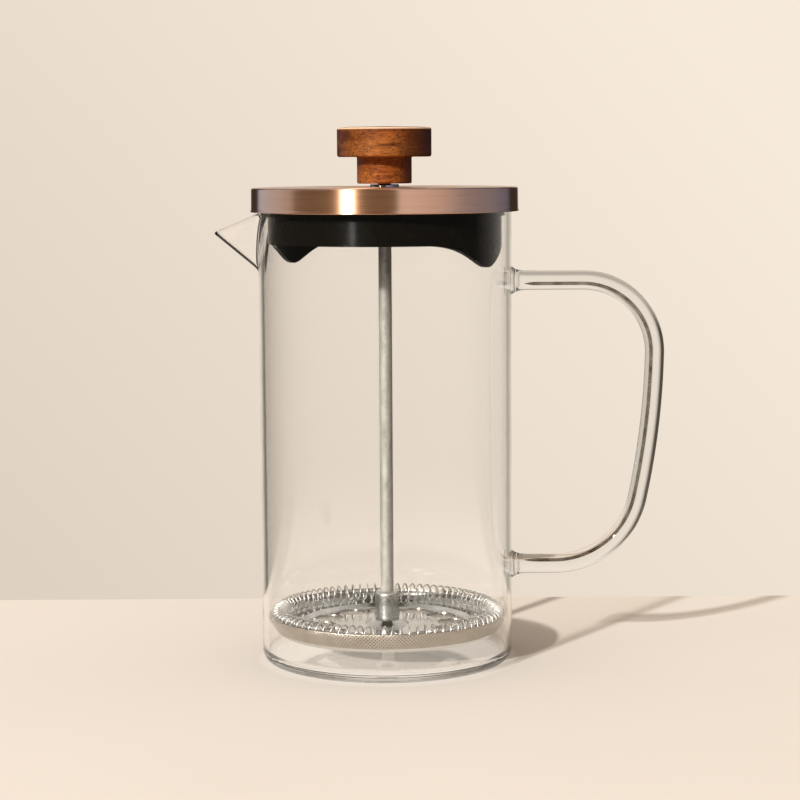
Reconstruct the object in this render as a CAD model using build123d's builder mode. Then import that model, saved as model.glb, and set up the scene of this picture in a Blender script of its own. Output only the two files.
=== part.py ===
from build123d import *
from math import cos, radians, sin, sqrt
import os

# French press with a glass carafe, a copper-coloured lid and a walnut knob.
# Millimetres. Z is up, the origin is the centre of the carafe's base.
# The handle points to +X and the spout to -X.

# ---- driving dimensions ----

# Carafe
glass_outer_r = 48.0
glass_wall = 2.0
glass_inner_r = glass_outer_r - glass_wall
glass_base = 3.0
glass_rim_z = 173.0
glass_foot_fillet = 4.2
glass_inner_fillet = 3.0
glass_rim_fillet = 0.9

# Spout: a V drawn out of the rim. Its rim lies in a plane that falls away from the axis.
spout_back_x = -44.3
spout_tip_x = -66.5
spout_half_width = 18.4
spout_rim_slope = 22.1
spout_wall = 1.7
spout_tip_fillet = 3.0
spout_root = (-46.5, 0, 147.3)
spout_inner_root = (-44.6, 0, 148.0)

# Handle: one bent rod. Its ends meet the wall square, under small flares.
handle_r = 3.67
handle_top_z = 145.4
handle_flare_r = 6.4
handle_flare_waist_r = 3.5
handle_flare_end_x = glass_outer_r + 4.0
handle_start_x = glass_outer_r - 1.0
handle_top_run = 28.2
handle_bend_r = 27.5
handle_bend_angle = 91
handle_back_r = 292
handle_back_angle = 11
handle_foot_bend_r = 32.2
handle_foot_bend_angle = 180 - handle_bend_angle - handle_back_angle
handle_foot_run = 22.0

# Lid
cap_bottom_r = 50.6
cap_top_r = 50.45
cap_bottom_z = 171.8
cap_top_z = 180.9
cap_sheet = 0.8
cap_hem_r = 50.75
cap_hem_height = 0.9
cap_edge_fillet = 0.8
flange_r = 49.3
flange_bottom_z = glass_rim_z + 0.1
web_bottom_z = 177.4
web_top_z = cap_top_z - cap_sheet
plug_r = 45.6
plug_bottom_z = 170.3
skirt_r = 44.3
skirt_inner_r = 42.3
skirt_bottom_z = 160.0
lobe_bottom_z = 151.5
lobe_half_width = 27.0
lobe_azimuth = -32.0
boss_r = 8.0
boss_bottom_z = 173.5
rib_count = 6
rib_width = 1.5
rib_bottom_z = 174.6

# Guide bush in the lid, with its washer and nut
rod_r = 2.5
running_clearance = 0.08
body_gap = 0.3
bush_r = 3.4
bush_bottom_z = 170.4
bush_flange_r = 5.5
bush_flange_top_z = 182.0
bush_washer_r = 7.0
bush_washer_thickness = 0.6
bush_nut_across_flats = 11.0
bush_nut_thickness = 2.0

# Knob
knob_bottom_z = 182.3
knob_neck_r = 10.35
knob_head_r = 17.85
knob_head_z = 192.3
knob_rim_z = 203.2
knob_crown_z = 203.8
knob_edge_fillet = 1.0
insert_r = 4.0
insert_bottom_z = 183.0
insert_top_z = 195.0
knob_bore_top_z = 195.6

# Rod and ferrule
rod_bottom_z = 8.3
rod_top_z = 193.0
ferrule_r = 4.6
ferrule_bottom_z = 15.4
ferrule_top_z = 26.1
ferrule_top_fillet = 1.5
ferrule_groove_z = 16.6
ferrule_groove_r = 0.3

# Filter stack, from the top down
plate_sheet = 0.6
plate_z = 13.2
plate_boss_z = 15.1
plate_boss_top_r = 6.0
plate_boss_foot_r = 8.3
plate_bead_r = 34.0
plate_bead_height = 1.2
plate_bend = 1.0
plate_flange_top_z = 18.0
plate_hole_count = 12
plate_hole_r = 5.5
plate_hole_pitch_r = 25.2
plate_hole_phase = 4.5
spring_ring_r = 41.75
spring_z = 17.8
spring_coil_r = 3.3
spring_wire = 0.55
spring_slot = 0.8
mesh_sheet = 0.4
mesh_z = 12.6
mesh_flat_r = 42.9
mesh_wall_r = 45.4
mesh_shoulder_z = 17.0
mesh_top_z = 18.5
cross_top_z = 12.3
cross_sheet = 0.8
cross_r = 41.2
cross_rim_width = 1.6
cross_rim_depth = 1.3
cross_hub_r = 13.0
cross_window_r = 37.5
cross_bar_count = 4
cross_bar_width = 5.0
filter_hole_r = rod_r + body_gap
cross_nut_r = 5.2
cross_nut_bottom_z = 7.7


def up_to(azimuth):
    """A vertical plane through the axis that faces the given azimuth, its own Y axis up."""
    outward = (cos(radians(azimuth)), sin(radians(azimuth)), 0)
    sideways = (-sin(radians(azimuth)), cos(radians(azimuth)), 0)
    return Plane(origin=(0, 0, 0), x_dir=sideways, z_dir=outward)


def sheet_outline(middle, thickness):
    """The closed outline of a bent sheet, from the line along the middle of its thickness."""
    upper = []
    lower = []
    for index, point in enumerate(middle):
        here = Vector(*point)
        before = Vector(*middle[max(index - 1, 0)])
        after = Vector(*middle[min(index + 1, len(middle) - 1)])
        directions = [d.normalized() for d in (here - before, after - here) if d.length > 0]
        along = sum(directions, Vector(0, 0)).normalized()
        miter = along.dot(directions[0])
        offset = Vector(-along.Y, along.X) * (thickness / 2 / miter)
        upper.append(here + offset)
        lower.append(here - offset)
    return upper + lower[::-1]


os.makedirs("parts", exist_ok=True)

# ---- carafe: beaker and spout, one wall ----

spout_rim_plane = Plane(
    origin=(spout_back_x, 0, glass_rim_z),
    x_dir=(-cos(radians(spout_rim_slope)), 0, -sin(radians(spout_rim_slope))),
    z_dir=(-sin(radians(spout_rim_slope)), 0, cos(radians(spout_rim_slope))),
)
spout_length = (spout_back_x - spout_tip_x) / cos(radians(spout_rim_slope))
spout_side = spout_half_width / spout_length
spout_tip_inset = spout_wall * sqrt(1 + 1 / spout_side**2)
spout_overrun = 5.0

with BuildSketch(spout_rim_plane) as spout_outer_rim:
    with BuildLine():
        Polyline((0, spout_half_width), (0, -spout_half_width), (spout_length, 0), close=True)
    make_face()
    fillet(spout_outer_rim.vertices().sort_by(Axis.X)[-1], spout_tip_fillet)

with BuildSketch(spout_rim_plane) as spout_inner_rim:
    inner_length = spout_length - spout_tip_inset
    inner_half_width = (inner_length + spout_overrun) * spout_side
    with BuildLine():
        Polyline(
            (-spout_overrun, inner_half_width),
            (-spout_overrun, -inner_half_width),
            (inner_length, 0),
            close=True,
        )
    make_face()
    fillet(spout_inner_rim.vertices().sort_by(Axis.X)[-1], spout_tip_fillet - spout_wall)

with BuildPart() as carafe:
    with BuildSketch(Plane.XZ):
        with BuildLine():
            FilletPolyline(
                (0, 0),
                (glass_outer_r, 0),
                (glass_outer_r, glass_rim_z),
                (0, glass_rim_z),
                radius=[glass_foot_fillet, glass_rim_fillet],
            )
            Line((0, glass_rim_z), (0, 0))
        make_face()
    revolve(axis=Axis.Z)
    loft([Vertex(*spout_root), spout_outer_rim.sketch])
    with BuildSketch(Plane.XZ):
        rim_centre = (glass_inner_r + glass_rim_fillet, glass_rim_z - glass_rim_fillet)
        rim_middle = glass_rim_fillet * sin(radians(45))
        with BuildLine():
            FilletPolyline(
                (0, glass_base),
                (glass_inner_r, glass_base),
                (glass_inner_r, rim_centre[1]),
                radius=glass_inner_fillet,
            )
            ThreePointArc(
                (glass_inner_r, rim_centre[1]),
                (rim_centre[0] - rim_middle, rim_centre[1] + rim_middle),
                (rim_centre[0], glass_rim_z),
            )
            Polyline(
                (rim_centre[0], glass_rim_z),
                (rim_centre[0], glass_rim_z + spout_overrun),
                (0, glass_rim_z + spout_overrun),
                (0, glass_base),
            )
        make_face()
    revolve(axis=Axis.Z, mode=Mode.SUBTRACT)
    loft([Vertex(*spout_inner_root), spout_inner_rim.sketch], mode=Mode.SUBTRACT)
    with BuildSketch(spout_rim_plane):
        Rectangle(2 * glass_outer_r, 2 * glass_outer_r, align=(Align.MIN, Align.CENTER))
    extrude(amount=2 * spout_overrun, mode=Mode.SUBTRACT)
carafe.part.label = "carafe"
export_step(carafe.part, "parts/carafe.step")

# ---- carafe handle: a glass rod, fused to the wall at both ends ----

with BuildPart() as carafe_handle:
    with BuildLine(Plane.XZ) as handle_path:
        top_run = Line((handle_start_x, handle_top_z), (handle_start_x + handle_top_run, handle_top_z))
        bend = JernArc(top_run @ 1, top_run % 1, handle_bend_r, -handle_bend_angle)
        back = JernArc(bend @ 1, bend % 1, handle_back_r, -handle_back_angle)
        foot_bend = JernArc(back @ 1, back % 1, handle_foot_bend_r, -handle_foot_bend_angle)
        foot_run = Line(foot_bend @ 1, foot_bend @ 1 + foot_bend % 1 * handle_foot_run)
    with BuildSketch(Plane(origin=handle_path.wire() @ 0, z_dir=handle_path.wire() % 0)):
        Circle(handle_r)
    sweep()
    handle_foot = handle_path.wire() @ 1
    for flare_z in (handle_top_z, handle_foot.Z):
        with BuildSketch(Plane.XZ):
            with BuildLine():
                Polyline(
                    (handle_start_x, flare_z),
                    (handle_start_x, flare_z + handle_flare_r),
                    (glass_outer_r, flare_z + handle_flare_r),
                )
                ThreePointArc(
                    (glass_outer_r, flare_z + handle_flare_r),
                    (glass_outer_r + 1.0, flare_z + handle_flare_waist_r + 1.0),
                    (handle_flare_end_x, flare_z + handle_flare_waist_r),
                )
                Polyline(
                    (handle_flare_end_x, flare_z + handle_flare_waist_r),
                    (handle_flare_end_x, flare_z),
                    (handle_start_x, flare_z),
                )
            make_face()
        revolve(axis=Axis((0, 0, flare_z), (1, 0, 0)))
    with BuildSketch(Plane.XY):
        Circle(glass_outer_r)
    extrude(amount=glass_rim_z, mode=Mode.SUBTRACT)
carafe_handle.part.label = "carafe_handle"
export_step(carafe_handle.part, "parts/carafe_handle.step")

# ---- lid cap: a drawn steel shell with a hem round its lower edge ----

with BuildPart() as lid_cap:
    with BuildSketch(Plane.XZ):
        with BuildLine():
            FilletPolyline(
                (bush_r + body_gap, cap_top_z),
                (cap_top_r, cap_top_z),
                (cap_bottom_r, cap_bottom_z + cap_hem_height),
                radius=cap_edge_fillet,
            )
            Polyline(
                (cap_bottom_r, cap_bottom_z + cap_hem_height),
                (cap_hem_r, cap_bottom_z + cap_hem_height / 2),
                (cap_hem_r, cap_bottom_z + cap_hem_height / 4),
                (cap_bottom_r, cap_bottom_z),
                (cap_bottom_r - cap_sheet, cap_bottom_z),
                (cap_top_r - cap_sheet, cap_top_z - cap_sheet),
                (bush_r + body_gap, cap_top_z - cap_sheet),
                (bush_r + body_gap, cap_top_z),
            )
        make_face()
    revolve(axis=Axis.Z)
lid_cap.part.label = "lid_cap"
export_step(lid_cap.part, "parts/lid_cap.step")

# ---- lid insert: plastic plug with ribs, and a skirt cut to two opposite lobes ----

with BuildPart() as lid_insert:
    with BuildSketch(Plane.XZ):
        with BuildLine():
            Polyline(
                (bush_r + body_gap, web_top_z),
                (flange_r, web_top_z),
                (flange_r, flange_bottom_z),
                (plug_r, flange_bottom_z),
                (plug_r, plug_bottom_z),
                (skirt_r, plug_bottom_z),
                (skirt_r, lobe_bottom_z),
                (skirt_inner_r, lobe_bottom_z),
                (skirt_inner_r, web_bottom_z),
                (boss_r, web_bottom_z),
                (boss_r, boss_bottom_z),
                (bush_r + body_gap, boss_bottom_z),
                close=True,
            )
        make_face()
    revolve(axis=Axis.Z)
    with BuildSketch(up_to(lobe_azimuth)):
        clear = 2 * lobe_half_width
        with BuildLine():
            Spline(
                (-lobe_half_width, skirt_bottom_z),
                (0, lobe_bottom_z),
                (lobe_half_width, skirt_bottom_z),
                tangents=[(1, 0), (1, 0)],
            )
            Polyline(
                (lobe_half_width, skirt_bottom_z),
                (clear, skirt_bottom_z),
                (clear, lobe_bottom_z - 1),
                (-clear, lobe_bottom_z - 1),
                (-clear, skirt_bottom_z),
                (-lobe_half_width, skirt_bottom_z),
            )
        make_face()
    extrude(amount=glass_outer_r, both=True, mode=Mode.SUBTRACT)
    with BuildSketch(Plane.XY.offset(rib_bottom_z)):
        rib_start = boss_r - 0.5
        rib_length = skirt_inner_r + 0.5 - rib_start
        with PolarLocations(rib_start + rib_length / 2, rib_count):
            Rectangle(rib_length, rib_width)
    extrude(amount=web_bottom_z - rib_bottom_z)
lid_insert.part.label = "lid_insert"
export_step(lid_insert.part, "parts/lid_insert.step")

# ---- guide bush, washer and nut: they hold the lid together and guide the rod ----

with BuildPart() as guide_bush:
    with BuildSketch(Plane.XY.offset(bush_bottom_z)):
        Circle(bush_r)
    extrude(amount=cap_top_z - bush_bottom_z)
    with BuildSketch(Plane.XY.offset(cap_top_z)):
        Circle(bush_flange_r)
    extrude(amount=bush_flange_top_z - cap_top_z)
    fillet(guide_bush.edges().filter_by(GeomType.CIRCLE).sort_by(Axis.Z)[-1], 0.4)
    with BuildSketch(Plane.XY.offset(bush_bottom_z)):
        Circle(rod_r + running_clearance)
    extrude(amount=bush_flange_top_z - bush_bottom_z, mode=Mode.SUBTRACT)
guide_bush.part.label = "guide_bush"
export_step(guide_bush.part, "parts/guide_bush.step")

washer_bottom_z = boss_bottom_z - bush_washer_thickness
with BuildPart() as bush_washer:
    with BuildSketch(Plane.XY.offset(washer_bottom_z)):
        Circle(bush_washer_r)
        Circle(bush_r, mode=Mode.SUBTRACT)
    extrude(amount=bush_washer_thickness)
bush_washer.part.label = "bush_washer"
export_step(bush_washer.part, "parts/bush_washer.step")

with BuildPart() as bush_nut:
    with BuildSketch(Plane.XY.offset(washer_bottom_z - bush_nut_thickness)):
        RegularPolygon(bush_nut_across_flats / 2, 6, major_radius=False)
        Circle(bush_r, mode=Mode.SUBTRACT)
    extrude(amount=bush_nut_thickness)
bush_nut.part.label = "bush_nut"
export_step(bush_nut.part, "parts/bush_nut.step")

# ---- knob: turned walnut, with a threaded insert in its blind bore ----

crown_run = knob_head_r - 2 * knob_edge_fillet
crown_rise = knob_crown_z - knob_rim_z
crown_radius = (crown_run**2 + crown_rise**2) / (2 * crown_rise)

with BuildPart() as knob:
    with BuildSketch(Plane.XZ):
        with BuildLine():
            FilletPolyline(
                (0, knob_bottom_z),
                (knob_neck_r, knob_bottom_z),
                (knob_neck_r, knob_head_z),
                (knob_head_r, knob_head_z),
                (knob_head_r, knob_rim_z),
                (crown_run, knob_rim_z),
                radius=[0.5, 0.3, 0.8, knob_edge_fillet],
            )
            RadiusArc((crown_run, knob_rim_z), (0, knob_crown_z), -crown_radius)
            Line((0, knob_crown_z), (0, knob_bottom_z))
        make_face()
    revolve(axis=Axis.Z)
    with BuildSketch(Plane.XY.offset(knob_bottom_z)):
        Circle(insert_r + running_clearance)
    extrude(amount=knob_bore_top_z - knob_bottom_z, mode=Mode.SUBTRACT)
knob.part.label = "knob"
export_step(knob.part, "parts/knob.step")

with BuildPart() as knob_insert:
    with BuildSketch(Plane.XY.offset(insert_bottom_z)):
        Circle(insert_r)
        Circle(rod_r + running_clearance, mode=Mode.SUBTRACT)
    extrude(amount=insert_top_z - insert_bottom_z)
knob_insert.part.label = "knob_insert"
export_step(knob_insert.part, "parts/knob_insert.step")

# ---- plunger rod, threaded at both ends, and the ferrule crimped on its foot ----

with BuildPart() as plunger_rod:
    with BuildSketch(Plane.XY.offset(rod_bottom_z)):
        Circle(rod_r)
    extrude(amount=rod_top_z - rod_bottom_z)
    chamfer(plunger_rod.edges().filter_by(GeomType.CIRCLE), 0.5)
plunger_rod.part.label = "plunger_rod"
export_step(plunger_rod.part, "parts/plunger_rod.step")

with BuildPart() as rod_ferrule:
    with BuildSketch(Plane.XZ):
        with BuildLine():
            FilletPolyline(
                (rod_r, ferrule_bottom_z),
                (ferrule_r, ferrule_bottom_z),
                (ferrule_r, ferrule_top_z),
                (rod_r, ferrule_top_z),
                radius=[0.4, ferrule_top_fillet],
            )
            Line((rod_r, ferrule_top_z), (rod_r, ferrule_bottom_z))
        make_face()
        with Locations((ferrule_r, ferrule_groove_z)):
            Circle(ferrule_groove_r, mode=Mode.SUBTRACT)
    revolve(axis=Axis.Z)
rod_ferrule.part.label = "rod_ferrule"
export_step(rod_ferrule.part, "parts/rod_ferrule.step")

# ---- spiral plate: pressed disc with a raised middle, a bead, holes and a flange for the spring ----

with BuildPart() as spiral_plate:
    with BuildSketch(Plane.XZ):
        bead_half_width = 2.5
        bead_crown_half_width = 1.0
        with BuildLine():
            Polyline(
                *sheet_outline(
                    [
                        (filter_hole_r, plate_boss_z),
                        (plate_boss_top_r, plate_boss_z),
                        (plate_boss_foot_r, plate_z),
                        (plate_bead_r - bead_half_width, plate_z),
                        (plate_bead_r - bead_crown_half_width, plate_z + plate_bead_height),
                        (plate_bead_r + bead_crown_half_width, plate_z + plate_bead_height),
                        (plate_bead_r + bead_half_width, plate_z),
                        (spring_ring_r - plate_bend, plate_z),
                        (spring_ring_r, plate_z + plate_bend),
                        (spring_ring_r, plate_flange_top_z),
                    ],
                    plate_sheet,
                ),
                close=True,
            )
        make_face()
    revolve(axis=Axis.Z)
    with BuildSketch(Plane.XY.offset(plate_z - 2 * plate_sheet)):
        with PolarLocations(plate_hole_pitch_r, plate_hole_count, start_angle=plate_hole_phase):
            Circle(plate_hole_r)
    extrude(amount=4 * plate_sheet, mode=Mode.SUBTRACT)
spiral_plate.part.label = "spiral_plate"
export_step(spiral_plate.part, "parts/spiral_plate.step")

# ---- edge spring: the ring that its coils fill, hollow, and open below where the flange runs in ----

with BuildPart() as edge_spring:
    with BuildSketch(Plane.XZ):
        with Locations((spring_ring_r, spring_z)):
            Circle(spring_coil_r)
            Circle(spring_coil_r - spring_wire, mode=Mode.SUBTRACT)
        with Locations((spring_ring_r, spring_z - spring_coil_r)):
            Rectangle(spring_slot, 2 * spring_coil_r, mode=Mode.SUBTRACT)
    revolve(axis=Axis.Z)
edge_spring.part.label = "edge_spring"
export_step(edge_spring.part, "parts/edge_spring.step")

# ---- mesh screen: woven disc, its edge turned up outside the spring ----

with BuildPart() as mesh_screen:
    with BuildSketch(Plane.XZ):
        with BuildLine():
            Polyline(
                *sheet_outline(
                    [
                        (filter_hole_r, mesh_z),
                        (mesh_flat_r, mesh_z),
                        (mesh_wall_r, mesh_shoulder_z),
                        (mesh_wall_r, mesh_top_z),
                    ],
                    mesh_sheet,
                ),
                close=True,
            )
        make_face()
    revolve(axis=Axis.Z)
mesh_screen.part.label = "mesh_screen"
export_step(mesh_screen.part, "parts/mesh_screen.step")

# ---- cross plate: spoked disc with a rim turned down, and the threaded collar under it ----

with BuildPart() as cross_plate:
    with BuildSketch(Plane.XY.offset(cross_top_z - cross_sheet)):
        Circle(cross_r)
        Circle(filter_hole_r, mode=Mode.SUBTRACT)
    extrude(amount=cross_sheet)
    with BuildSketch(Plane.XY.offset(cross_top_z - cross_rim_depth)):
        Circle(cross_r)
        Circle(cross_r - cross_rim_width, mode=Mode.SUBTRACT)
    extrude(amount=cross_rim_depth)
    with BuildSketch(Plane.XY.offset(cross_top_z - cross_sheet)):
        Circle(cross_window_r)
        Circle(cross_hub_r, mode=Mode.SUBTRACT)
        for bar in range(cross_bar_count):
            Rectangle(2 * cross_r, cross_bar_width, rotation=bar * 180 / cross_bar_count, mode=Mode.SUBTRACT)
    extrude(amount=cross_sheet, mode=Mode.SUBTRACT)
cross_plate.part.label = "cross_plate"
export_step(cross_plate.part, "parts/cross_plate.step")

with BuildPart() as cross_plate_nut:
    with BuildSketch(Plane.XY.offset(cross_nut_bottom_z)):
        Circle(cross_nut_r)
        Circle(rod_r + running_clearance, mode=Mode.SUBTRACT)
    extrude(amount=cross_top_z - cross_sheet - cross_nut_bottom_z)
    chamfer(cross_plate_nut.edges().filter_by(GeomType.CIRCLE).group_by(Axis.Z)[0].sort_by(SortBy.RADIUS)[-1], 0.6)
cross_plate_nut.part.label = "cross_plate_nut"
export_step(cross_plate_nut.part, "parts/cross_plate_nut.step")
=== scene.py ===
import math

import bmesh
import bpy
from mathutils import Matrix, Vector


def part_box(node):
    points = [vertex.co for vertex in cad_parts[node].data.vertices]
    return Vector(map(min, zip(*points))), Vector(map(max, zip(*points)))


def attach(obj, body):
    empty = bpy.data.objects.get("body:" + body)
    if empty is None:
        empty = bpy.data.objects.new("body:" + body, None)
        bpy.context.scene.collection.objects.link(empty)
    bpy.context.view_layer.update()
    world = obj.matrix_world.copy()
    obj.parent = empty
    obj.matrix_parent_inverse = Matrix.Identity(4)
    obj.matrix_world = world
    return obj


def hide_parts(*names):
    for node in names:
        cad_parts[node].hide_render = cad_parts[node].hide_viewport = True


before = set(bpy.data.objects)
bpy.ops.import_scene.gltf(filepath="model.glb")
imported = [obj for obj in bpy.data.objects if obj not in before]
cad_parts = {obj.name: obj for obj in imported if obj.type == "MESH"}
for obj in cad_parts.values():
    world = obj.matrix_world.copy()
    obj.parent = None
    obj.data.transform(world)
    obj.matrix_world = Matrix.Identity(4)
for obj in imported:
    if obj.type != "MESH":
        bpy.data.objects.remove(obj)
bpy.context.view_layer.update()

# French press: the glass, knob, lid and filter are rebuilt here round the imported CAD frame.
# Metres. Z is up, the handle points to +X, the spout to -X and the viewer stands at -Y.

MM = 0.001
TAU = 2 * math.pi


# ---- places and sizes read from the frame ----


def radius_of(node):
    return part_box(node)[1].y


def bottom_of(node):
    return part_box(node)[0].z


def top_of(node):
    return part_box(node)[1].z


glass_r = radius_of("carafe")
glass_rim = top_of("carafe")
handle_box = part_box("carafe_handle")
cap_bottom, cap_top = bottom_of("lid_cap"), top_of("lid_cap")
cap_r = radius_of("lid_cap")
knob_bottom, knob_top = bottom_of("knob"), top_of("knob")
knob_r = radius_of("knob")
spring_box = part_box("edge_spring")
mesh_bottom, mesh_top = bottom_of("mesh_screen"), top_of("mesh_screen")
mesh_r = radius_of("mesh_screen")


# ---- outlines and meshes ----


def rounded(corners, steps=6):
    """A line through (r, z, fillet) corners, each corner rounded by an arc of its fillet radius."""
    line = []
    for index, (x, z, fillet) in enumerate(corners):
        here = Vector((x, z))
        if fillet <= 0 or index in (0, len(corners) - 1):
            line.append((x, z))
            continue
        back = (Vector(corners[index - 1][:2]) - here).normalized()
        ahead = (Vector(corners[index + 1][:2]) - here).normalized()
        half_angle = math.acos(max(-1, min(1, back.dot(ahead)))) / 2
        reach = fillet / math.tan(half_angle)
        centre = here + (back + ahead).normalized() * (fillet / math.sin(half_angle))
        start = here + back * reach - centre
        turn = start.angle_signed(here + ahead * reach - centre)
        for step in range(steps + 1):
            line.append(tuple(centre + Matrix.Rotation(-turn * step / steps, 2) @ start))
    return line


def make_mesh(name, points, faces, material, smooth=True):
    """A mesh object of those points and faces, with its normals pointing out."""
    mesh = bpy.data.meshes.new(name)
    mesh.from_pydata(points, [], faces)
    mesh.validate()
    body = bmesh.new()
    body.from_mesh(mesh)
    bmesh.ops.remove_doubles(body, verts=body.verts, dist=1e-7)
    bmesh.ops.recalc_face_normals(body, faces=body.faces)
    body.to_mesh(mesh)
    body.free()
    for polygon in mesh.polygons:
        polygon.use_smooth = smooth
    mesh.materials.append(material)
    piece = bpy.data.objects.new(name, mesh)
    bpy.context.scene.collection.objects.link(piece)
    return piece


def grid_faces(rows, columns, close_rows=False):
    """The faces of a grid of points that is stored row by row, each row closed on itself."""
    faces = []
    for row in range(rows if close_rows else rows - 1):
        for column in range(columns):
            next_row = (row + 1) % rows
            next_column = (column + 1) % columns
            faces.append(
                (
                    row * columns + column,
                    row * columns + next_column,
                    next_row * columns + next_column,
                    next_row * columns + column,
                )
            )
    return faces


def lathe(name, outline, material, segments=128):
    """A turned piece: the outline's (r, z) points swept round the Z axis."""
    points = []
    for r, z in outline:
        for segment in range(segments):
            angle = TAU * segment / segments
            points.append((r * math.cos(angle), r * math.sin(angle), z))
    piece = make_mesh(name, points, grid_faces(len(outline), segments), material)
    weight_normals(piece)
    return piece


def weight_normals(piece):
    """Keeps flat faces flat beside their rounded edges."""
    modifier = piece.modifiers.new("weighted normals", "WEIGHTED_NORMAL")
    modifier.keep_sharp = True
    modifier.weight = 60


def tube(name, path, radii, material, sides=12, closed=False):
    """A tube along the path, its section turned as little as it can be from point to point."""
    count = len(path)
    points = []
    across = None
    for index, here in enumerate(path):
        before = path[(index - 1) % count] if closed or index else here
        after = path[(index + 1) % count] if closed or index < count - 1 else here
        along = (after - before).normalized()
        if across is None:
            across = along.orthogonal().normalized()
        across = (across - along * across.dot(along)).normalized()
        up = along.cross(across)
        for side in range(sides):
            angle = TAU * side / sides
            points.append(here + (across * math.cos(angle) + up * math.sin(angle)) * radii[index])
    faces = grid_faces(count, sides, close_rows=closed)
    if not closed:
        faces.append(tuple(range(sides)))
        faces.append(tuple(range((count - 1) * sides, count * sides)))
    return make_mesh(name, points, faces, material)


# ---- materials ----


class Tree:
    """A short way to build a shader's node tree."""

    def __init__(self, tree):
        self.tree = tree

    def add(self, kind, **settings):
        node = self.tree.nodes.new(kind)
        for key, value in settings.items():
            setattr(node, key, value)
        return node

    def link(self, source, target):
        self.tree.links.new(source, target)

    def feed(self, socket, value):
        """Links an output to the socket, or sets it to a number or a colour."""
        if isinstance(value, (int, float)):
            socket.default_value = value
        elif isinstance(value, tuple):
            socket.default_value = (*value, 1)
        else:
            self.link(value, socket)

    def math(self, operation, first, second=None):
        node = self.add("ShaderNodeMath", operation=operation)
        self.feed(node.inputs[0], first)
        if second is not None:
            self.feed(node.inputs[1], second)
        return node.outputs[0]

    def mix(self, factor, first, second, blend="MIX"):
        node = self.add("ShaderNodeMix", data_type="RGBA", blend_type=blend)
        for index, value in ((0, factor), (6, first), (7, second)):
            self.feed(node.inputs[index], value)
        return node.outputs[2]

    def ramp(self, factor, *stops):
        """Colours or grey levels at positions: (position, value)."""
        node = self.add("ShaderNodeValToRGB")
        elements = node.color_ramp.elements
        elements.remove(elements[-1])
        for index, (position, value) in enumerate(stops):
            element = elements.new(position) if index else elements[0]
            element.position = position
            element.color = (*value, 1) if isinstance(value, tuple) else (value, value, value, 1)
        self.link(factor, node.inputs["Fac"])
        return node.outputs["Color"]

    def split(self, vector):
        node = self.add("ShaderNodeSeparateXYZ")
        self.link(vector, node.inputs[0])
        return node.outputs


class Surface(Tree):
    """A material, its node tree and its Principled shader."""

    def __init__(self, name, **values):
        self.material = bpy.data.materials.new(name)
        self.material.use_nodes = True
        super().__init__(self.material.node_tree)
        self.shader = self.tree.nodes["Principled BSDF"]
        self.output = self.tree.nodes["Material Output"]
        for key, value in values.items():
            self.shader.inputs[key.replace("_", " ")].default_value = value

    def place(self, scale=(1, 1, 1), rotation=(0, 0, 0)):
        """Object coordinates, scaled: the piece's own frame, in metres."""
        coordinates = self.add("ShaderNodeTexCoord")
        mapping = self.add("ShaderNodeMapping")
        mapping.inputs["Scale"].default_value = scale
        mapping.inputs["Rotation"].default_value = rotation
        self.link(coordinates.outputs["Object"], mapping.inputs["Vector"])
        return mapping.outputs["Vector"]

    def polar(self, around, along, outward=0.0):
        """Coordinates that run round, along and out from the Z axis, for noise in turning lines."""
        x, y, z = self.split(self.place())
        flat = self.add("ShaderNodeCombineXYZ")
        self.link(x, flat.inputs["X"])
        self.link(y, flat.inputs["Y"])
        length = self.add("ShaderNodeVectorMath", operation="LENGTH")
        self.link(flat.outputs[0], length.inputs[0])
        # The unit vector stands for the angle, because it has no seam.
        unit = self.add("ShaderNodeVectorMath", operation="NORMALIZE")
        self.link(flat.outputs[0], unit.inputs[0])
        turned = self.add("ShaderNodeVectorMath", operation="SCALE")
        turned.inputs["Scale"].default_value = around
        self.link(unit.outputs[0], turned.inputs[0])
        lift = self.add("ShaderNodeCombineXYZ")
        height = self.math("MULTIPLY", z, along)
        depth = self.math("MULTIPLY", length.outputs["Value"], outward)
        self.link(self.math("ADD", height, depth), lift.inputs["Z"])
        total = self.add("ShaderNodeVectorMath", operation="ADD")
        self.link(turned.outputs[0], total.inputs[0])
        self.link(lift.outputs[0], total.inputs[1])
        return total.outputs[0]

    def noise(self, vector, scale, detail=4.0, roughness=0.5, distortion=0.0):
        node = self.add("ShaderNodeTexNoise")
        node.inputs["Scale"].default_value = scale
        node.inputs["Detail"].default_value = detail
        node.inputs["Roughness"].default_value = roughness
        node.inputs["Distortion"].default_value = distortion
        self.link(vector, node.inputs["Vector"])
        return node.outputs["Fac"]

    def bump(self, height, distance, strength=1.0, below=None):
        node = self.add("ShaderNodeBump")
        node.inputs["Distance"].default_value = distance
        node.inputs["Strength"].default_value = strength
        self.link(height, node.inputs["Height"])
        if below is not None:
            self.link(below, node.inputs["Normal"])
        return node.outputs["Normal"]

    def show_through(self, share, color=(1, 1, 1)):
        """Lets a share of the light straight through the surface, tinted."""
        clear = self.add("ShaderNodeBsdfTransparent")
        self.feed(clear.inputs["Color"], color)
        mixer = self.add("ShaderNodeMixShader")
        self.feed(mixer.inputs[0], share)
        self.link(self.shader.outputs[0], mixer.inputs[1])
        self.link(clear.outputs[0], mixer.inputs[2])
        self.link(mixer.outputs[0], self.output.inputs["Surface"])

    def finish(self, color=None, roughness=None, normal=None):
        for source, target in ((color, "Base Color"), (roughness, "Roughness"), (normal, "Normal")):
            if source is not None:
                self.link(source, self.shader.inputs[target])
        return self.material


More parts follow.
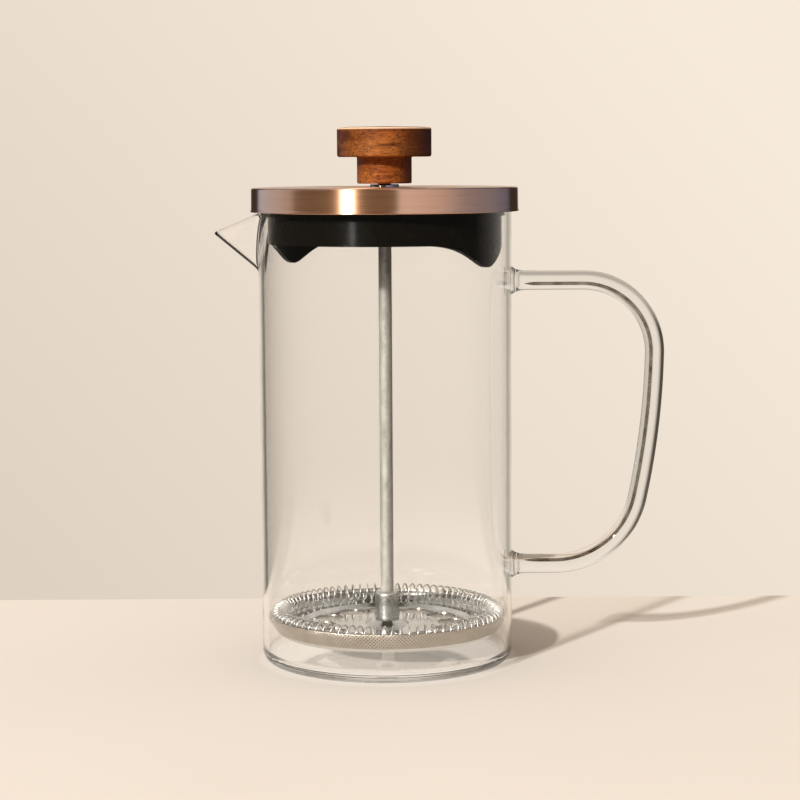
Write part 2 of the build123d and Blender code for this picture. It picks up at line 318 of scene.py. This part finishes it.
def glass_material():
    """Clear borosilicate glass, faintly wavy. Lamps shine through it, less so where it is edge on."""
    n = Surface("clear_glass", Transmission_Weight=1.0, IOR=1.47, Roughness=0.0, Specular_IOR_Level=0.3)
    wave = n.noise(n.polar(1.2, 30.0), 3.0, detail=2.0)
    n.link(n.bump(wave, 0.0001, 0.2), n.shader.inputs["Normal"])
    n.shader.inputs["Base Color"].default_value = (1, 1, 1, 1)
    facing = n.add("ShaderNodeLayerWeight").outputs["Facing"]
    sheet = n.ramp(
        facing,
        (0.0, (0.98, 0.975, 0.965)),
        (0.5, (0.96, 0.955, 0.94)),
        (0.95, (0.55, 0.54, 0.51)),
    )
    rod = n.ramp(
        facing,
        (0.0, (0.66, 0.65, 0.63)),
        (0.35, (0.58, 0.56, 0.53)),
        (1.0, (0.35, 0.33, 0.30)),
    )
    x, _, z = n.split(n.place())
    shadow = n.mix(n.math("GREATER_THAN", x, glass_r + 1.5 * MM), sheet, rod)
    shadow = n.mix(n.math("LESS_THAN", z, FOOT_FILLET * 1.2), shadow, (0.995, 0.99, 0.985))
    n.show_through(n.add("ShaderNodeLightPath").outputs["Is Shadow Ray"], shadow)
    return n.finish()


def line_shade_material():
    """A dark line in the handle, painted shade: it bends no light and only dims what is seen through it,
    unevenly along its length.
    """
    n = Surface("handle_line_painted_shade", Transmission_Weight=1.0, IOR=1.0, Roughness=0.0)
    uneven = n.noise(n.place(), 220.0, detail=2.0)
    return n.finish(n.ramp(uneven, (0.35, (0.10, 0.088, 0.07)), (0.65, (0.26, 0.24, 0.21))))


def copper_material():
    """Copper-coloured coating over steel that is brushed round the axis."""
    n = Surface("brushed_copper", Metallic=1.0, Anisotropic=1.0, Anisotropic_Rotation=0.25)
    fine = n.noise(n.polar(3.0, 11000.0, 11000.0), 1.0, detail=4.0, roughness=0.8)
    broad = n.noise(n.polar(1.5, 1500.0, 1500.0), 1.0, detail=2.0)
    speck = n.noise(n.polar(260.0, 9000.0, 9000.0), 1.0, detail=2.0)
    streak = n.mix(0.45, n.mix(0.4, fine, speck), broad)
    color = n.ramp(streak, (0.3, (0.80, 0.41, 0.22)), (0.7, (0.95, 0.53, 0.31)))
    rough = n.ramp(streak, (0.2, 0.25), (0.8, 0.33))
    # The brushing leaves the side of the cap leaning back a little.
    lean = n.add("ShaderNodeVectorMath", operation="ADD")
    lean.inputs[1].default_value = (0, 0, 0.1)
    n.link(n.add("ShaderNodeNewGeometry").outputs["Normal"], lean.inputs[0])
    upright = n.add("ShaderNodeVectorMath", operation="NORMALIZE")
    n.link(lean.outputs[0], upright.inputs[0])
    tangent = n.add("ShaderNodeTangent", direction_type="RADIAL", axis="Z")
    n.link(tangent.outputs[0], n.shader.inputs["Tangent"])
    return n.finish(color, rough, n.bump(broad, 0.000004, 0.3, upright.outputs[0]))


def steel_material(name, color, roughness, brush=0.0, tone=0.1):
    """Stainless steel with faint turning marks, patchy polish and tiny scratches."""
    n = Surface(name, Metallic=1.0)
    turned = n.noise(n.polar(1.5, 6000.0, 6000.0), 1.0, detail=3.0)
    patch = n.noise(n.place(), 180.0, detail=4.0)
    scratch = n.noise(n.place((60, 900, 60), (0.3, 0.2, 0.7)), 14.0, detail=2.0)
    dark = tuple(c * (1 - tone) for c in color)
    shade = n.ramp(n.mix(0.5, turned, patch), (0.3, dark), (0.7, color))
    rough = n.ramp(n.mix(0.4, patch, scratch), (0.3, roughness * 0.7), (0.7, roughness * 1.5))
    normal = n.bump(turned, 0.000006, brush)
    return n.finish(shade, rough, n.bump(scratch, 0.000003, 0.3, normal))


def plastic_material():
    """Glossy black moulded plastic with a faint moulded ripple and a fine grain."""
    n = Surface("black_plastic", IOR=1.5, Specular_IOR_Level=0.05, Anisotropic=1.0, Anisotropic_Rotation=0.25)
    ripple = n.noise(n.place(), 90.0, detail=2.0)
    grain = n.noise(n.place(), 2500.0, detail=2.0)
    color = n.ramp(grain, (0.35, (0.0035, 0.0028, 0.0018)), (0.7, (0.006, 0.0048, 0.0034)))
    rough = n.ramp(ripple, (0.3, 0.24), (0.7, 0.30))
    # Fine lines run round it from the mould's turning.
    tangent = n.add("ShaderNodeTangent", direction_type="RADIAL", axis="Z")
    n.link(tangent.outputs[0], n.shader.inputs["Tangent"])
    normal = n.bump(ripple, 0.00003, 0.1)
    return n.finish(color, rough, n.bump(grain, 0.000003, 0.4, normal))


def walnut_material():
    """Oiled walnut with its grain along X: growth bands, fine fibres and open pores."""
    n = Surface("walnut", IOR=1.46, Specular_IOR_Level=0.09)
    bands = n.noise(n.place((10, 46, 120), (0.16, 0.0, 0.25)), 1.5, detail=3.0, distortion=0.7)
    fibre = n.noise(n.place((110, 1300, 1300), (0.0, 0.03, 0.06)), 1.0, detail=4.0, roughness=0.7)
    pores = n.noise(n.place((420, 3200, 3200), (0.0, 0.03, 0.06)), 1.0, detail=2.0)
    color = n.ramp(
        bands,
        (0.30, (0.120, 0.030, 0.006)),
        (0.44, (0.230, 0.062, 0.011)),
        (0.56, (0.330, 0.108, 0.022)),
        (0.70, (0.170, 0.048, 0.008)),
    )
    # Partly the wood's own tone and partly painted light and shade: the wood is lighter left of the middle
    # and darker towards both sides.
    x, y, z = n.split(n.place())
    across = n.math("ADD", n.math("MULTIPLY", x, 22.0), n.math("MULTIPLY", bands, 0.35))
    tone_and_painted_light = n.ramp(
        n.math("ADD", across, 0.25),
        (0.07, 0.34),
        (0.27, 0.75),
        (0.38, 1.0),
        (0.48, 0.9),
        (0.62, 0.36),
        (0.78, 0.2),
    )
    color = n.mix(1.0, color, tone_and_painted_light, "MULTIPLY")
    color = n.mix(n.ramp(fibre, (0.35, 0.8), (0.58, 0.0)), color, (0.05, 0.011, 0.002))
    color = n.mix(n.ramp(pores, (0.30, 0.9), (0.40, 0.0)), color, (0.014, 0.004, 0.001))
    # Painted highlight: the upper rim is painted lighter, where light catches its rounded edge.
    out = n.math("SQRT", n.math("ADD", n.math("MULTIPLY", x, x), n.math("MULTIPLY", y, y)))
    edge = n.math("DIVIDE", n.math("SUBTRACT", out, knob_r - 0.9 * MM), 0.4 * MM)
    upper = n.math("DIVIDE", n.math("SUBTRACT", z, knob_top - 1.3 * MM), 0.4 * MM)
    color = n.mix(n.math("MINIMUM", edge, upper), color, (0.62, 0.42, 0.27))
    rough = n.ramp(fibre, (0.3, 0.5), (0.7, 0.36))
    normal = n.bump(fibre, 0.00006, 0.5)
    return n.finish(color, rough, n.bump(n.ramp(pores, (0.3, 0.0), (0.4, 1.0)), 0.00008, 0.6, normal))


def brass_material():
    """Machined brass."""
    n = Surface("machined_brass", Metallic=1.0)
    turned = n.noise(n.polar(1.5, 5000.0), 1.0, detail=3.0)
    color = n.ramp(turned, (0.3, (0.60, 0.42, 0.16)), (0.7, (0.78, 0.58, 0.27)))
    return n.finish(color, n.ramp(turned, (0.3, 0.2), (0.7, 0.35)), n.bump(turned, 0.00001, 0.5))


def weave_material():
    """Fine woven wire: crossed wires that stand proud of each other, open between them."""
    n = Surface("woven_steel", Metallic=1.0)
    across, along, _ = n.split(n.add("ShaderNodeUVMap", uv_map="weave").outputs[0])
    warp = n.math("ABSOLUTE", n.math("SINE", n.math("MULTIPLY", across, math.pi)))
    weft = n.math("ABSOLUTE", n.math("SINE", n.math("MULTIPLY", along, math.pi)))
    height = n.math("MAXIMUM", warp, weft)
    patch = n.noise(n.place(), 260.0, detail=3.0)
    # Painted shade: the wires are painted near black down their sides, where they dip between each other.
    color = n.ramp(n.mix(0.2, height, patch), (0.45, (0.02, 0.017, 0.013)), (0.9, (0.66, 0.59, 0.50)))
    n.show_through(n.math("LESS_THAN", height, 0.6))
    return n.finish(color, n.ramp(patch, (0.3, 0.28), (0.7, 0.42)), n.bump(height, 0.00012, 0.9))


def table_material():
    """The pale table top: matt, with a breath of unevenness, its far parts in shade in reflections."""
    n = Surface("pale_table", Specular_IOR_Level=0.0)
    patch = n.noise(n.place(), 6.0, detail=3.0)
    grain = n.noise(n.place(), 700.0, detail=2.0)
    color = n.ramp(patch, (0.3, (0.78, 0.71, 0.625)), (0.7, (0.80, 0.73, 0.645)))
    away = n.add("ShaderNodeVectorMath", operation="LENGTH")
    n.link(n.place(), away.inputs[0])
    shade = n.ramp(away.outputs["Value"], (0.20, 1.0), (0.45, 0.12))
    path = n.add("ShaderNodeLightPath").outputs
    shallow = n.math("LESS_THAN", path["Transmission Depth"], 3.5)
    bent = n.math("MULTIPLY", path["Is Transmission Ray"], shallow)
    seen = n.math("MAXIMUM", n.math("GREATER_THAN", path["Glossy Depth"], 0.5), bent)
    color = n.mix(seen, color, n.mix(1.0, color, shade, "MULTIPLY"))
    # A glow under the carafe stands for the light that its base would gather there.
    n.link(color, n.shader.inputs["Emission Color"])
    under_base = n.ramp(away.outputs["Value"], (glass_r - 4 * MM, 0.55), (glass_r, 0.0))
    n.link(under_base, n.shader.inputs["Emission Strength"])
    return n.finish(color, n.ramp(grain, (0.3, 0.6), (0.7, 0.75)), n.bump(grain, 0.00002, 0.2))


# ---- glass carafe: beaker, spout and handle in one piece, and the line drawn in the handle ----

GLASS_WALL = 2.0 * MM
GLASS_BASE = 3.0 * MM
FOOT_FILLET = 4.2 * MM
INNER_FILLET = 3.0 * MM
BASE_MARK_R = 3.4 * MM
BASE_MARK_DEPTH = 0.45 * MM
SPOUT_ZONE = 139 * MM
SPOUT_ROOT = Vector((46.5, 0, 147.3)) * MM
SPOUT_POINT = Vector((66.5, 0, 163.96)) * MM
SPOUT_SIDE = Vector((44.3, 18.4, 173.0)) * MM
SPOUT_WALL = 1.25 * MM
SPOUT_BLEND = 1.6 * MM
SPOUT_HALF_ANGLE = math.radians(50)
SPOUT_ROWS = 30
RIM_STEPS = 6
RIM_LIP = 0.8 * MM


def smooth_max(first, second, width):
    """The larger of two lengths, blended where they are less than width apart."""
    overlap = max(width - abs(first - second), 0) / width
    return max(first, second) + overlap * overlap * width / 4


def spout_reach(angle, z, inset, rounding):
    """How far the spout's V stands out from the axis at that height and angle from its middle."""
    normal = (SPOUT_POINT - SPOUT_ROOT).cross(SPOUT_SIDE - SPOUT_ROOT).normalized()
    normal = -normal if normal.x < 0 else normal
    level = normal.dot(SPOUT_ROOT) - inset - normal.z * z
    reach = level / (normal.x * math.cos(angle) + normal.y * abs(math.sin(angle)))
    # The V's fold is rounded, so its reach is found by going round until it settles.
    for _ in range(8):
        sideways = math.hypot(reach * math.sin(angle), rounding)
        reach = (level - normal.y * sideways) / (normal.x * math.cos(angle))
    return reach


def wall_radius(angle, z, inner):
    """The radius of the glass wall's outer or inner face, spout included."""
    plain = glass_r - (GLASS_WALL if inner else 0)
    if z < SPOUT_ZONE or abs(angle) > SPOUT_HALF_ANGLE:
        return plain
    inset = SPOUT_WALL if inner else 0
    rounding = (0.35 if inner else 0.81) * MM
    return smooth_max(plain, spout_reach(angle, z, inset, rounding), SPOUT_BLEND)


def rim_height(angle, inner):
    """The height of the rim, which falls away along the spout."""
    rise = (SPOUT_SIDE.z - SPOUT_POINT.z) / (SPOUT_POINT.x - SPOUT_SIDE.x)
    z = glass_rim
    # The spout's reach depends on the height in turn, so this too goes round until it settles.
    for _ in range(40):
        out = wall_radius(angle, z, inner) * math.cos(angle)
        z = 0.5 * z + 0.5 * min(glass_rim, glass_rim - (out - SPOUT_SIDE.x) * rise)
    return z


def carafe_column(angle):
    """The (r, z) points of the wall at one angle from the spout, from under the base to inside it."""
    underside = rounded(
        [
            (0, BASE_MARK_DEPTH, 0),
            (BASE_MARK_R * 0.7, BASE_MARK_DEPTH, 0.8 * MM),
            (BASE_MARK_R, 0.02 * MM, 0.8 * MM),
            (glass_r, 0, FOOT_FILLET),
            (glass_r, SPOUT_ZONE, 0),
        ],
        steps=8,
    )[:-1]
    column = list(underside)
    middle_rows = 10
    for row in range(1, middle_rows):
        column.append((glass_r, FOOT_FILLET + (SPOUT_ZONE - FOOT_FILLET) * row / middle_rows))
    top = rim_height(angle, False)
    inner_top = rim_height(angle, True)
    for row in range(SPOUT_ROWS + 1):
        z = SPOUT_ZONE + (top - RIM_LIP - SPOUT_ZONE) * row / SPOUT_ROWS
        column.append((wall_radius(angle, z, False), z))
    outer_edge = Vector((wall_radius(angle, top - RIM_LIP, False), top - RIM_LIP))
    inner_edge = Vector((wall_radius(angle, inner_top - RIM_LIP, True), inner_top - RIM_LIP))
    crown = (outer_edge + inner_edge) / 2 + Vector((0, RIM_LIP))
    for step in range(1, RIM_STEPS):
        t = step / RIM_STEPS
        swing = math.pi * t
        across = outer_edge.lerp(inner_edge, 0.5 - 0.5 * math.cos(swing))
        column.append((across.x, across.y + (crown.y - (outer_edge.y + inner_edge.y) / 2) * math.sin(swing)))
    for row in range(SPOUT_ROWS, -1, -1):
        z = SPOUT_ZONE + (inner_top - RIM_LIP - SPOUT_ZONE) * row / SPOUT_ROWS
        column.append((wall_radius(angle, z, True), z))
    inner_r = glass_r - GLASS_WALL
    inner_foot = GLASS_BASE + INNER_FILLET
    for row in range(middle_rows - 1, 0, -1):
        column.append((inner_r, inner_foot + (SPOUT_ZONE - inner_foot) * row / middle_rows))
    floor = rounded(
        [(inner_r, SPOUT_ZONE, 0), (inner_r, GLASS_BASE, INNER_FILLET), (0, GLASS_BASE, 0)],
        steps=8,
    )[1:]
    return column + floor


def carafe_angles():
    """Angles round the wall from the middle of the spout, closer together across it."""
    fine_limit = 30
    angles = [math.radians(a / 2) for a in range(-2 * fine_limit, 2 * fine_limit)]
    rest = 360 - 2 * fine_limit
    coarse = 200
    angles += [math.radians(fine_limit + rest * i / coarse) for i in range(coarse)]
    return [(a + math.pi) % TAU - math.pi for a in angles]


def handle_path():
    """The handle's middle line: straight out of the wall, round two bends, and straight back in."""
    bend_r, back_r, foot_r = 27.5 * MM, 292 * MM, 32.2 * MM
    bend, back = math.radians(91), math.radians(11)
    foot = math.pi - bend - back
    step = 1.0 * MM
    start = glass_r - 0.7 * MM
    z_top = handle_box[1].z - 6.4 * MM
    place = Vector((start, 0, z_top))
    heading = 0.0
    path = [place.copy()]
    for length, curve in (
        (27.8 * MM, 0),
        (bend_r * bend, 1 / bend_r),
        (back_r * back, 1 / back_r),
        (foot_r * foot, 1 / foot_r),
        (None, 0),
    ):
        if length is None:
            length = place.x - start
        count = max(1, round(length / step))
        for _ in range(count):
            turn = curve * length / count
            middle = heading - turn / 2
            place = place + Vector((math.cos(middle), 0, math.sin(middle))) * (length / count)
            heading -= turn
            path.append(place.copy())
    return path


def handle_radii(path):
    """The rod's radius along its length: a small flare at each end."""
    rod = 3.67 * MM
    flare = 1.7 * MM
    fade = 1.9 * MM
    radii = []
    for point in path:
        out = max(point.x - glass_r, 0)
        radii.append(rod + flare * math.exp(-((out / fade) ** 1.2)))
    return radii


def shade_line_path(path):
    """The middle of the thin line of painted shade inside the rod, on the inner side of its bends."""
    inset = 0.9 * MM
    line = []
    for before, after in zip(path[:-1], path[1:]):
        if min(before.x, after.x) < glass_r + 4 * MM:
            continue
        along = (after - before).normalized()
        line.append((before + after) / 2 + Vector((along.z, 0, -along.x)) * inset)
    return line


def build_carafe(material):
    angles = carafe_angles()
    columns = [carafe_column(angle) for angle in angles]
    points = []
    for row in range(len(columns[0])):
        for angle, column in zip(angles, columns):
            r, z = column[row]
            points.append((-r * math.cos(angle), -r * math.sin(angle), z))
    wall = make_mesh("glass_carafe", points, grid_faces(len(columns[0]), len(angles)), material)
    path = handle_path()
    rod = tube("handle_rod", path, handle_radii(path), material, sides=48)
    # The rod's ends follow the curve of the wall that they sit on.
    for vertex in rod.data.vertices:
        seat = math.sqrt(glass_r**2 - vertex.co.y**2) + 0.02 * MM
        vertex.co.x = max(vertex.co.x, seat)
    body = bmesh.new()
    body.from_mesh(wall.data)
    body.from_mesh(rod.data)
    body.to_mesh(wall.data)
    body.free()
    bpy.data.objects.remove(rod)
    for polygon in wall.data.polygons:
        polygon.use_smooth = True
    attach(wall, "carafe")
    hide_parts("carafe", "carafe_handle")


def build_shade_line(material):
    """A thin tube of painted shade inside the rod, thin at both ends."""
    line = shade_line_path(handle_path())
    full = 0.46 * MM
    radii = [full * min(1, 0.15 + min(i, len(line) - 1 - i) / 4) for i in range(len(line))]
    thread = tube("handle_shade_line", line, radii, material, sides=16)
    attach(thread, "carafe")


# ---- lid ----


def build_lid_cap(material):
    sheet = 0.8 * MM
    side = cap_r - 0.2 * MM
    hole = 3.7 * MM
    outline = rounded(
        [
            (hole, cap_top - sheet, 0),
            (hole, cap_top, 0.15 * MM),
            (side - 0.1 * MM, cap_top, 0.7 * MM),
            (side, cap_bottom + 1.1 * MM, 1.5 * MM),
            (cap_r, cap_bottom + 0.55 * MM, 0.3 * MM),
            (cap_r, cap_bottom, 0.25 * MM),
            (cap_r - 1.1 * MM, cap_bottom, 0.25 * MM),
            (side - sheet - 0.1 * MM, cap_top - sheet, 0.4 * MM),
            (hole, cap_top - sheet, 0),
        ]
    )
    cap = lathe("copper_lid_cap", outline, material, segments=256)
    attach(cap, "lid")
    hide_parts("lid_cap")


# ---- knob ----


def build_knob(material):
    neck_r = 10.35 * MM
    head_z = 192.3 * MM
    bore_r = 4.08 * MM
    bore_top = 195.6 * MM
    crown_rise = 0.6 * MM
    outline = rounded(
        [
            (0, bore_top, 0),
            (bore_r, bore_top, 0),
            (bore_r, knob_bottom, 0.2 * MM),
            (neck_r, knob_bottom, 0.6 * MM),
            (neck_r, head_z, 0.5 * MM),
            (knob_r, head_z, 0.9 * MM),
            (knob_r, knob_top - crown_rise, 0.6 * MM),
            (knob_r - 3 * MM, knob_top - crown_rise * 0.55, 4 * MM),
            (0, knob_top, 0),
        ]
    )
    knob = lathe("walnut_knob", outline, material, segments=192)
    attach(knob, "knob")
    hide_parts("knob")


# ---- filter ----


def build_spring(material):
    """The coil spring round the filter's edge."""
    coils = 86
    steps = 18
    wire_r = 0.31 * MM
    ring_r = spring_box[1].y - (spring_box[1].z - spring_box[0].z) / 2
    middle_z = (spring_box[0].z + spring_box[1].z) / 2
    coil_r = (spring_box[1].z - spring_box[0].z) / 2 - wire_r
    path = []
    for index in range(coils * steps):
        around = TAU * index / (coils * steps)
        twist = TAU * index / steps
        out = ring_r + coil_r * math.cos(twist)
        z = middle_z + coil_r * math.sin(twist)
        path.append(Vector((out * math.cos(around), out * math.sin(around), z)))
    spring = tube("coil_spring", path, [wire_r] * len(path), material, sides=8, closed=True)
    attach(spring, "plunger")
    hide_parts("edge_spring")


def build_mesh_screen(material):
    """The woven disc: flat under the plate, its edge turned up outside the spring."""
    sheet = 0.3 * MM
    flat_r = 42.9 * MM
    hole_r = 2.8 * MM
    shoulder = 17.0 * MM
    pitch = 1.0 * MM
    outline = rounded(
        [
            (hole_r, mesh_bottom, 0),
            (flat_r, mesh_bottom, 0.8 * MM),
            (mesh_r, shoulder, 3 * MM),
            (mesh_r, mesh_top - sheet / 2, 0.12 * MM),
            (mesh_r - sheet, mesh_top - sheet / 2, 0.12 * MM),
            (mesh_r - sheet, shoulder, 3 * MM),
            (flat_r - sheet, mesh_bottom + sheet, 0.8 * MM),
            (hole_r, mesh_bottom + sheet, 0),
        ]
    )
    screen = lathe("woven_screen", outline, material, segments=256)
    layer = screen.data.uv_layers.new(name="weave")
    diagonal = math.sqrt(0.5)
    for polygon in screen.data.polygons:
        centre_angle = math.atan2(polygon.center.y, polygon.center.x)
        for loop in polygon.loop_indices:
            point = screen.data.vertices[screen.data.loops[loop].vertex_index].co
            if polygon.center.xy.length < flat_r - 1 * MM:
                u, v = point.x, point.y
            else:
                angle = math.atan2(point.y, point.x)
                if angle - centre_angle > math.pi:
                    angle -= TAU
                if centre_angle - angle > math.pi:
                    angle += TAU
                u, v = angle * mesh_r, point.z
            layer.data[loop].uv = ((u + v) * diagonal / pitch, (u - v) * diagonal / pitch)
    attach(screen, "plunger")
    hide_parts("mesh_screen")


# ---- studio ----


def build_table(material):
    """A pale table top whose back edge is a little way behind the object."""
    back_edge = 117 * MM
    reach = 3.0
    thick = 0.04
    corners = [
        (-reach, -reach),
        (reach, -reach),
        (reach, back_edge),
        (-reach, back_edge),
    ]
    points = [(x, y, z) for z in (0.0, -thick) for x, y in corners]
    faces = [(0, 1, 2, 3), (7, 6, 5, 4), (0, 4, 5, 1), (1, 5, 6, 2), (2, 6, 7, 3), (3, 7, 4, 0)]
    table = make_mesh("table", points, faces, material, smooth=False)
    bevel = table.modifiers.new("bevel", "BEVEL")
    bevel.width = 1 * MM
    bevel.segments = 3


def build_world():
    """The studio round the object.

    Each kind of ray sees its own studio. The camera sees an even cream wall, and so do rays that
    went straight through the glass. Rough metal sees panels and dark flags, the glass edges see
    flags, mirror reflections off glass see a softer sheen, and matt surfaces see a soft fill.
    """
    world = bpy.data.worlds.new("studio")
    bpy.context.scene.world = world
    world.use_nodes = True
    world.node_tree.nodes.clear()
    n = Tree(world.node_tree)
    x, y, z = n.split(n.add("ShaderNodeTexCoord").outputs["Generated"])
    # The direction round the object: 0 towards the viewer, negative to the left, as a share of 360.
    turn = n.math("ARCTAN2", x, n.math("MULTIPLY", y, -1.0))
    share = n.math("ADD", n.math("DIVIDE", turn, TAU), 0.5)
    rise = n.math("ADD", n.math("MULTIPLY", z, 0.5), 0.5)

    def panels(*stops):
        """Colours round the object. Each stop is a direction in degrees from the viewer and a colour."""
        return n.ramp(share, *(((180 + degrees) / 360, color) for degrees, color in stops))

    cool, neutral, warm = (0.95, 1.08, 1.40), (0.155, 0.13, 0.11), (0.84, 0.75, 0.64)
    dark = (0.05, 0.045, 0.04)
    metal = panels(
        (-172, warm),
        (-165, dark),
        (-140, dark),
        (-138, (0.56, 0.78, 1.20)),
        (-88, (0.56, 0.62, 0.76)),
        (-83, neutral),
        (11, neutral),
        (13, cool),
        (50, (0.78, 0.82, 1.02)),
        (75, (0.36, 0.46, 0.72)),
        (134, (0.16, 0.23, 0.42)),
        (137, dark),
        (165, dark),
        (172, warm),
    )
    height = n.ramp(rise, (0.30, 0.35), (0.48, 0.8), (0.55, 1.0), (0.72, 1.0), (0.88, 0.6), (0.94, 1.0))
    metal = n.mix(1.0, metal, height, "MULTIPLY")
    flag = (0.07, 0.06, 0.045)
    edges = panels(
        (-172, warm),
        (-165, (0.62, 0.55, 0.46)),
        (-160, (0.42, 0.37, 0.30)),
        (-155, (0.14, 0.12, 0.09)),
        (-152, flag),
        (92, flag),
        (125, (0.66, 0.60, 0.52)),
        (149, (0.62, 0.56, 0.48)),
        (154, (0.40, 0.35, 0.28)),
        (164, (0.54, 0.48, 0.40)),
        (172, warm),
    )
    above = n.ramp(rise, (0.66, 0.0), (0.74, 1.0))
    edges = n.mix(above, edges, n.ramp(rise, (0.86, (0.82, 0.74, 0.64)), (0.92, (0.24, 0.21, 0.17))))
    edges = n.mix(n.ramp(rise, (0.26, 1.0), (0.36, 0.0)), edges, (0.46, 0.41, 0.35))
    sheen = panels(
        (-180, warm),
        (-150, (0.60, 0.53, 0.45)),
        (-132, (0.16, 0.14, 0.11)),
        (-110, dark),
        (110, dark),
        (140, (0.12, 0.10, 0.08)),
        (158, (0.50, 0.44, 0.36)),
        (180, warm),
    )
    tilt = n.math("ADD", n.math("MULTIPLY", x, 2.0), n.math("MULTIPLY", n.math("ADD", z, 0.085), 1.8))
    wall = n.ramp(n.math("ADD", tilt, 0.5), (0.0, (0.74, 0.64, 0.535)), (1.0, (0.923, 0.82, 0.70)))

    path = n.add("ShaderNodeLightPath").outputs
    crossed = n.math("GREATER_THAN", path["Transmission Depth"], 3.5)
    unreflected = n.math("LESS_THAN", path["Glossy Depth"], 0.5)
    straight = n.math("MULTIPLY", crossed, unreflected)
    bent = n.math("MULTIPLY", path["Is Transmission Ray"], n.math("SUBTRACT", 1.0, crossed))
    mirrored = n.math("MULTIPLY", path["Is Singular Ray"], path["Is Reflection Ray"])
    inside = n.math("GREATER_THAN", path["Transmission Depth"], 1.5)
    overhead = n.ramp(rise, (0.62, 0.0), (0.72, 1.0))
    color = n.mix(inside, metal, n.mix(overhead, sheen, (0.74, 0.69, 0.62)))
    color = n.mix(bent, color, edges)
    color = n.mix(mirrored, color, sheen)
    color = n.mix(straight, color, n.mix(1.0, wall, (1.08, 1.08, 1.08), "MULTIPLY"))
    color = n.mix(n.math("GREATER_THAN", path["Diffuse Depth"], 0.5), color, (0.56, 0.475, 0.40))
    color = n.mix(path["Is Camera Ray"], color, wall)
    background = n.add("ShaderNodeBackground")
    n.link(color, background.inputs["Color"])
    n.link(background.outputs[0], n.add("ShaderNodeOutputWorld").inputs["Surface"])


def build_lights():
    """The key lamp, far off and low at the front left."""
    key = bpy.data.lights.new("key", "AREA")
    key.shape = "DISK"
    key.size = 0.45
    key.energy = 2140
    lamp = bpy.data.objects.new("key", key)
    bpy.context.scene.collection.objects.link(lamp)
    heading, climb, distance = math.radians(57.6), math.radians(23.2), 12.0
    flat = math.cos(climb)
    toward = Vector((-math.cos(heading) * flat, -math.sin(heading) * flat, math.sin(climb)))
    aim_point = Vector((0, 0, 0.09))
    lamp.location = aim_point + toward * distance
    lamp.rotation_euler = toward.to_track_quat("Z", "Y").to_euler()


def build_camera():
    """A long lens in front of the object, a little above the lid and tipped down."""
    data = bpy.data.cameras.new("camera")
    data.lens = 100
    data.sensor_width = 36
    camera = bpy.data.objects.new("camera", data)
    bpy.context.scene.collection.objects.link(camera)
    pitch, roll = math.radians(6.172), math.radians(0.337)
    camera.location = (0.0054, -0.8446, 0.1912)
    camera.rotation_mode = "QUATERNION"
    tilt = Matrix.Rotation(math.pi / 2 - pitch, 4, "X") @ Matrix.Rotation(-roll, 4, "Z")
    camera.rotation_quaternion = tilt.to_quaternion()
    bpy.context.scene.camera = camera


def paint(node, material):
    """Gives a kept CAD node its finish."""
    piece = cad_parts[node]
    piece.data.materials.clear()
    piece.data.materials.append(material)


glass = glass_material()
copper = copper_material()
polished = steel_material("polished_steel", (0.74, 0.74, 0.73), 0.07)
bush_steel = steel_material("bush_steel", (0.34, 0.34, 0.35), 0.10)
satin = steel_material("satin_steel", (0.60, 0.60, 0.59), 0.22, brush=0.6)
plate_steel = steel_material("pressed_steel", (0.74, 0.74, 0.73), 0.08, tone=0.3)
wire = steel_material("spring_wire", (0.80, 0.78, 0.74), 0.22)
rod_steel = steel_material("drawn_rod", (0.37, 0.345, 0.30), 0.7, brush=0.5)
ferrule_steel = steel_material("crimped_ferrule", (0.56, 0.55, 0.52), 0.26, brush=0.6)
black = plastic_material()
walnut = walnut_material()
brass = brass_material()
weave = weave_material()

build_carafe(glass)
build_shade_line(line_shade_material())
build_lid_cap(copper)
build_knob(walnut)
build_spring(wire)
build_mesh_screen(weave)
paint("lid_insert", black)
paint("guide_bush", bush_steel)
paint("bush_washer", satin)
paint("bush_nut", satin)
paint("knob_insert", brass)
paint("plunger_rod", rod_steel)
paint("rod_ferrule", ferrule_steel)
paint("spiral_plate", plate_steel)
paint("cross_plate", polished)
paint("cross_plate_nut", satin)

build_table(table_material())
build_world()
build_lights()
build_camera()

scene = bpy.context.scene
scene.view_settings.view_transform = "Standard"
scene.view_settings.look = "None"
# The glass lets lamps through as it shades, so matt surfaces gather no light through it as well.
scene.cycles.caustics_refractive = False
# Light that runs along inside the glass base and walls needs many reflections to come out.
scene.cycles.max_bounces = 32
scene.cycles.glossy_bounces = 20
scene.cycles.transmission_bounces = 24
